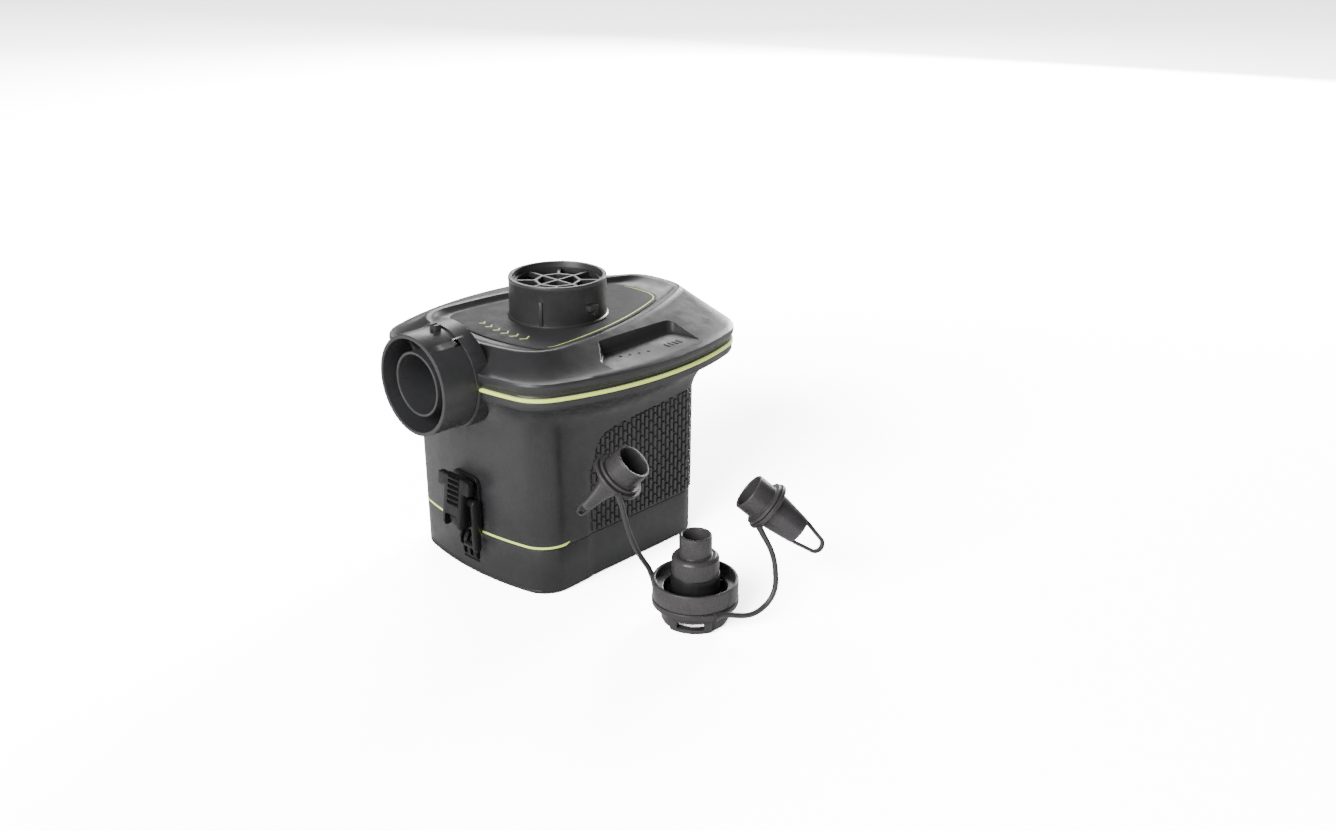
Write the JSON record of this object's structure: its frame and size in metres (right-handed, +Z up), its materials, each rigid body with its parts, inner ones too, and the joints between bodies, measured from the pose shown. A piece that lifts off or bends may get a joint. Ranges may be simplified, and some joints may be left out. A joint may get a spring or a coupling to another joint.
{
  "type": "air mattress pump",
  "caption": "Battery air pump with a square body, overhanging lip, inlet port on top, outlet port in front, draw latch on the battery cover and a tethered nozzle set beside it.",
  "frame": {"origin": "middle of the underside of the battery cover, the face the pump stands on", "axes": "+Z up through the inlet port, -Y out of the outlet port, +X towards the side with the thumb recess"},
  "size_m": [0.1924, 0.1476, 0.1215],
  "materials": {
    "housing_plastic": "fine moulded grain",
    "lime_trim": "satin",
    "label": "printed film",
    "inner_plastic": "moulded",
    "black_plastic": "semi-gloss moulded",
    "steel": "drawn",
    "ferrite": "sintered",
    "bronze": "machined",
    "windings": "enamelled wire",
    "cell_wrap": "printed sleeve",
    "wire_insulation": "smooth",
    "nozzle_plastic": "semi-gloss moulded",
    "tether_plastic": "smooth"
  },
  "bodies": {
    "housing": {"main_housing": "housing_plastic", "top_cover": "housing_plastic", "upper_trim": "lime_trim", "lower_trim": "lime_trim", "deck_label": "label", "inlet_port": "housing_plastic", "inlet_grille": "housing_plastic", "outlet_port": "housing_plastic", "outlet_core": "housing_plastic", "fan_scroll": "inner_plastic", "fan_lid": "inner_plastic", "motor_can": "steel", "motor_magnets": "ferrite", "motor_end_cap": "inner_plastic", "motor_bushes": "bronze", "battery_partition": "inner_plastic", "cell_cradle": "inner_plastic", "battery_cells": "cell_wrap", "top_contacts": "steel", "wires": "wire_insulation", "switch_frame": "black_plastic", "latch_base": "black_plastic", "latch_pin": "steel", "hinge_pin": "steel", "housing_screws": "steel"},
    "cover": {"battery_cover": "housing_plastic", "cover_contacts": "steel", "cover_springs": "steel", "latch_keeper": "black_plastic"},
    "rotor": {"motor_shaft": "steel", "impeller": "black_plastic", "armature": "windings", "commutator": "bronze"},
    "rocker": {"switch_rocker": "black_plastic"},
    "lever": {"latch_lever": "black_plastic", "bail_pin": "steel"},
    "bail": {"latch_bail": "black_plastic"},
    "nozzle_set": {"adapter_cup": "nozzle_plastic", "adapter_nozzle": "nozzle_plastic", "adapter_seal": "black_plastic", "strap_ring": "nozzle_plastic", "tether_left": "tether_plastic", "tether_right": "tether_plastic", "slim_tether_ring": "nozzle_plastic", "loop_tether_ring": "nozzle_plastic", "slim_nozzle": "nozzle_plastic", "loop_nozzle": "nozzle_plastic"}
  },
  "joints": [
    {"name": "fan_spin", "type": "hinge", "parent": "housing", "child": "rotor", "pos_m": [0, 0.001, 0.075], "axis": [0, 0, 1], "continuous": true},
    {"name": "switch_rock", "type": "hinge", "parent": "housing", "child": "rocker", "pos_m": [0, 0.0464, 0.0685], "axis": [1, 0, 0], "range_deg": [-16, 0]},
    {"name": "lever_swing", "type": "hinge", "parent": "housing", "child": "lever", "pos_m": [0, -0.058, 0.027], "axis": [1, 0, 0], "range_deg": [0, 85]},
    {"name": "bail_swing", "type": "hinge", "parent": "lever", "child": "bail", "pos_m": [0, -0.0573, 0.0361], "axis": [1, 0, 0], "range_deg": [-108.8, 0]},
    {"name": "cover_hinge", "type": "hinge", "parent": "housing", "child": "cover", "pos_m": [0, 0.0529, 0.0202], "axis": [1, 0, 0], "range_deg": [0, 75]},
    {"name": "nozzle_set_slide", "type": "slide", "parent": "housing", "child": "nozzle_set", "axis": [1, 0, 0], "range_m": [0, 0.12]}
  ],
  "couplings": [
    {"joint": "bail_swing", "follows": "lever_swing", "ratio": -1.28}
  ]
}
